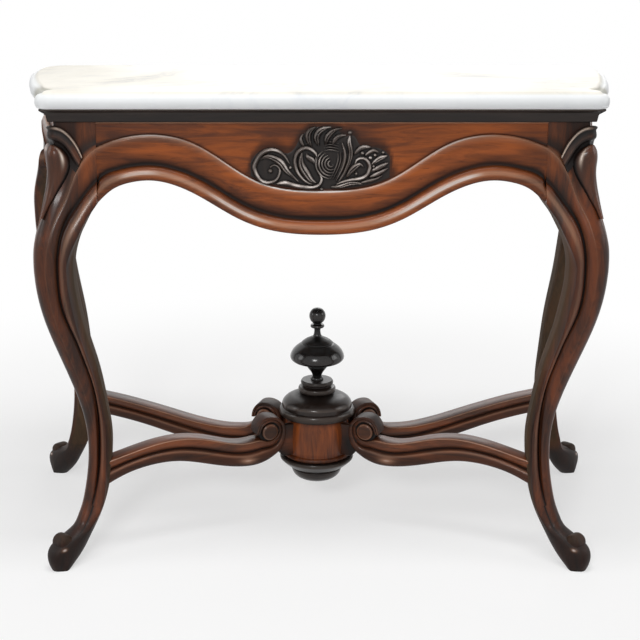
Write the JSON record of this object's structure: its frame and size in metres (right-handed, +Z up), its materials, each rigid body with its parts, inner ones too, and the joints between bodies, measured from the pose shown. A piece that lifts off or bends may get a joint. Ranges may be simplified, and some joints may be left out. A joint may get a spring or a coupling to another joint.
{
  "type": "pier table",
  "caption": "Pier table: lift-off marble slab on a walnut frame with cabriole legs, moulded serpentine apron, carved cartouche and crossed stretcher with turned finial.",
  "frame": {"origin": "on the floor, under the middle of the table", "axes": "+X to the right along the front, +Y from the front to the back, +Z up"},
  "size_m": [1.009, 0.467, 0.765],
  "materials": {
    "marble": "polished white marble with faint grey veins",
    "walnut": "French-polished walnut, aged, glossy",
    "carved_walnut": "carved walnut with dark wax in the hollows",
    "dark_walnut": "dark stained walnut, satin",
    "ebonised_wood": "ebonised turning, glossy",
    "secondary_wood": "unpolished deal, aged",
    "beech": "plain beech",
    "screw_steel": "dull steel"
  },
  "bodies": {
    "frame": {"front_apron": "walnut", "left_side_apron": "walnut", "right_side_apron": "walnut", "back_rail": "secondary_wood", "front_cornice": "dark_walnut", "left_cornice": "dark_walnut", "right_cornice": "dark_walnut", "back_top_strip": "secondary_wood", "apron_carving": "carved_walnut", "front_left_leg": "walnut", "front_left_knee_scroll": "carved_walnut", "front_left_stretcher": "walnut", "front_left_glue_block": "secondary_wood", "front_right_leg": "walnut", "front_right_knee_scroll": "carved_walnut", "front_right_stretcher": "walnut", "front_right_glue_block": "secondary_wood", "back_left_leg": "walnut", "back_left_knee_scroll": "carved_walnut", "back_left_stretcher": "walnut", "back_left_glue_block": "secondary_wood", "back_right_leg": "walnut", "back_right_knee_scroll": "carved_walnut", "back_right_stretcher": "walnut", "back_right_glue_block": "secondary_wood", "left_bearer": "secondary_wood", "right_bearer": "secondary_wood", "hub_base": "dark_walnut", "hub_drum": "walnut", "hub_cap": "dark_walnut", "hub_collar": "dark_walnut", "finial_mushroom": "ebonised_wood", "finial_ball": "ebonised_wood", "rail_dowels": "beech", "leg_stretcher_dowels": "beech", "hub_stretcher_dowels": "beech", "hub_pin": "beech", "glue_block_screws": "screw_steel", "bearer_screws": "screw_steel"},
    "slab": {"marble_top": "marble"}
  },
  "joints": [
    {"name": "slab_lift", "type": "slide", "parent": "frame", "child": "slab", "axis": [0, 0, 1], "range_m": [0, 0.1]}
  ]
}
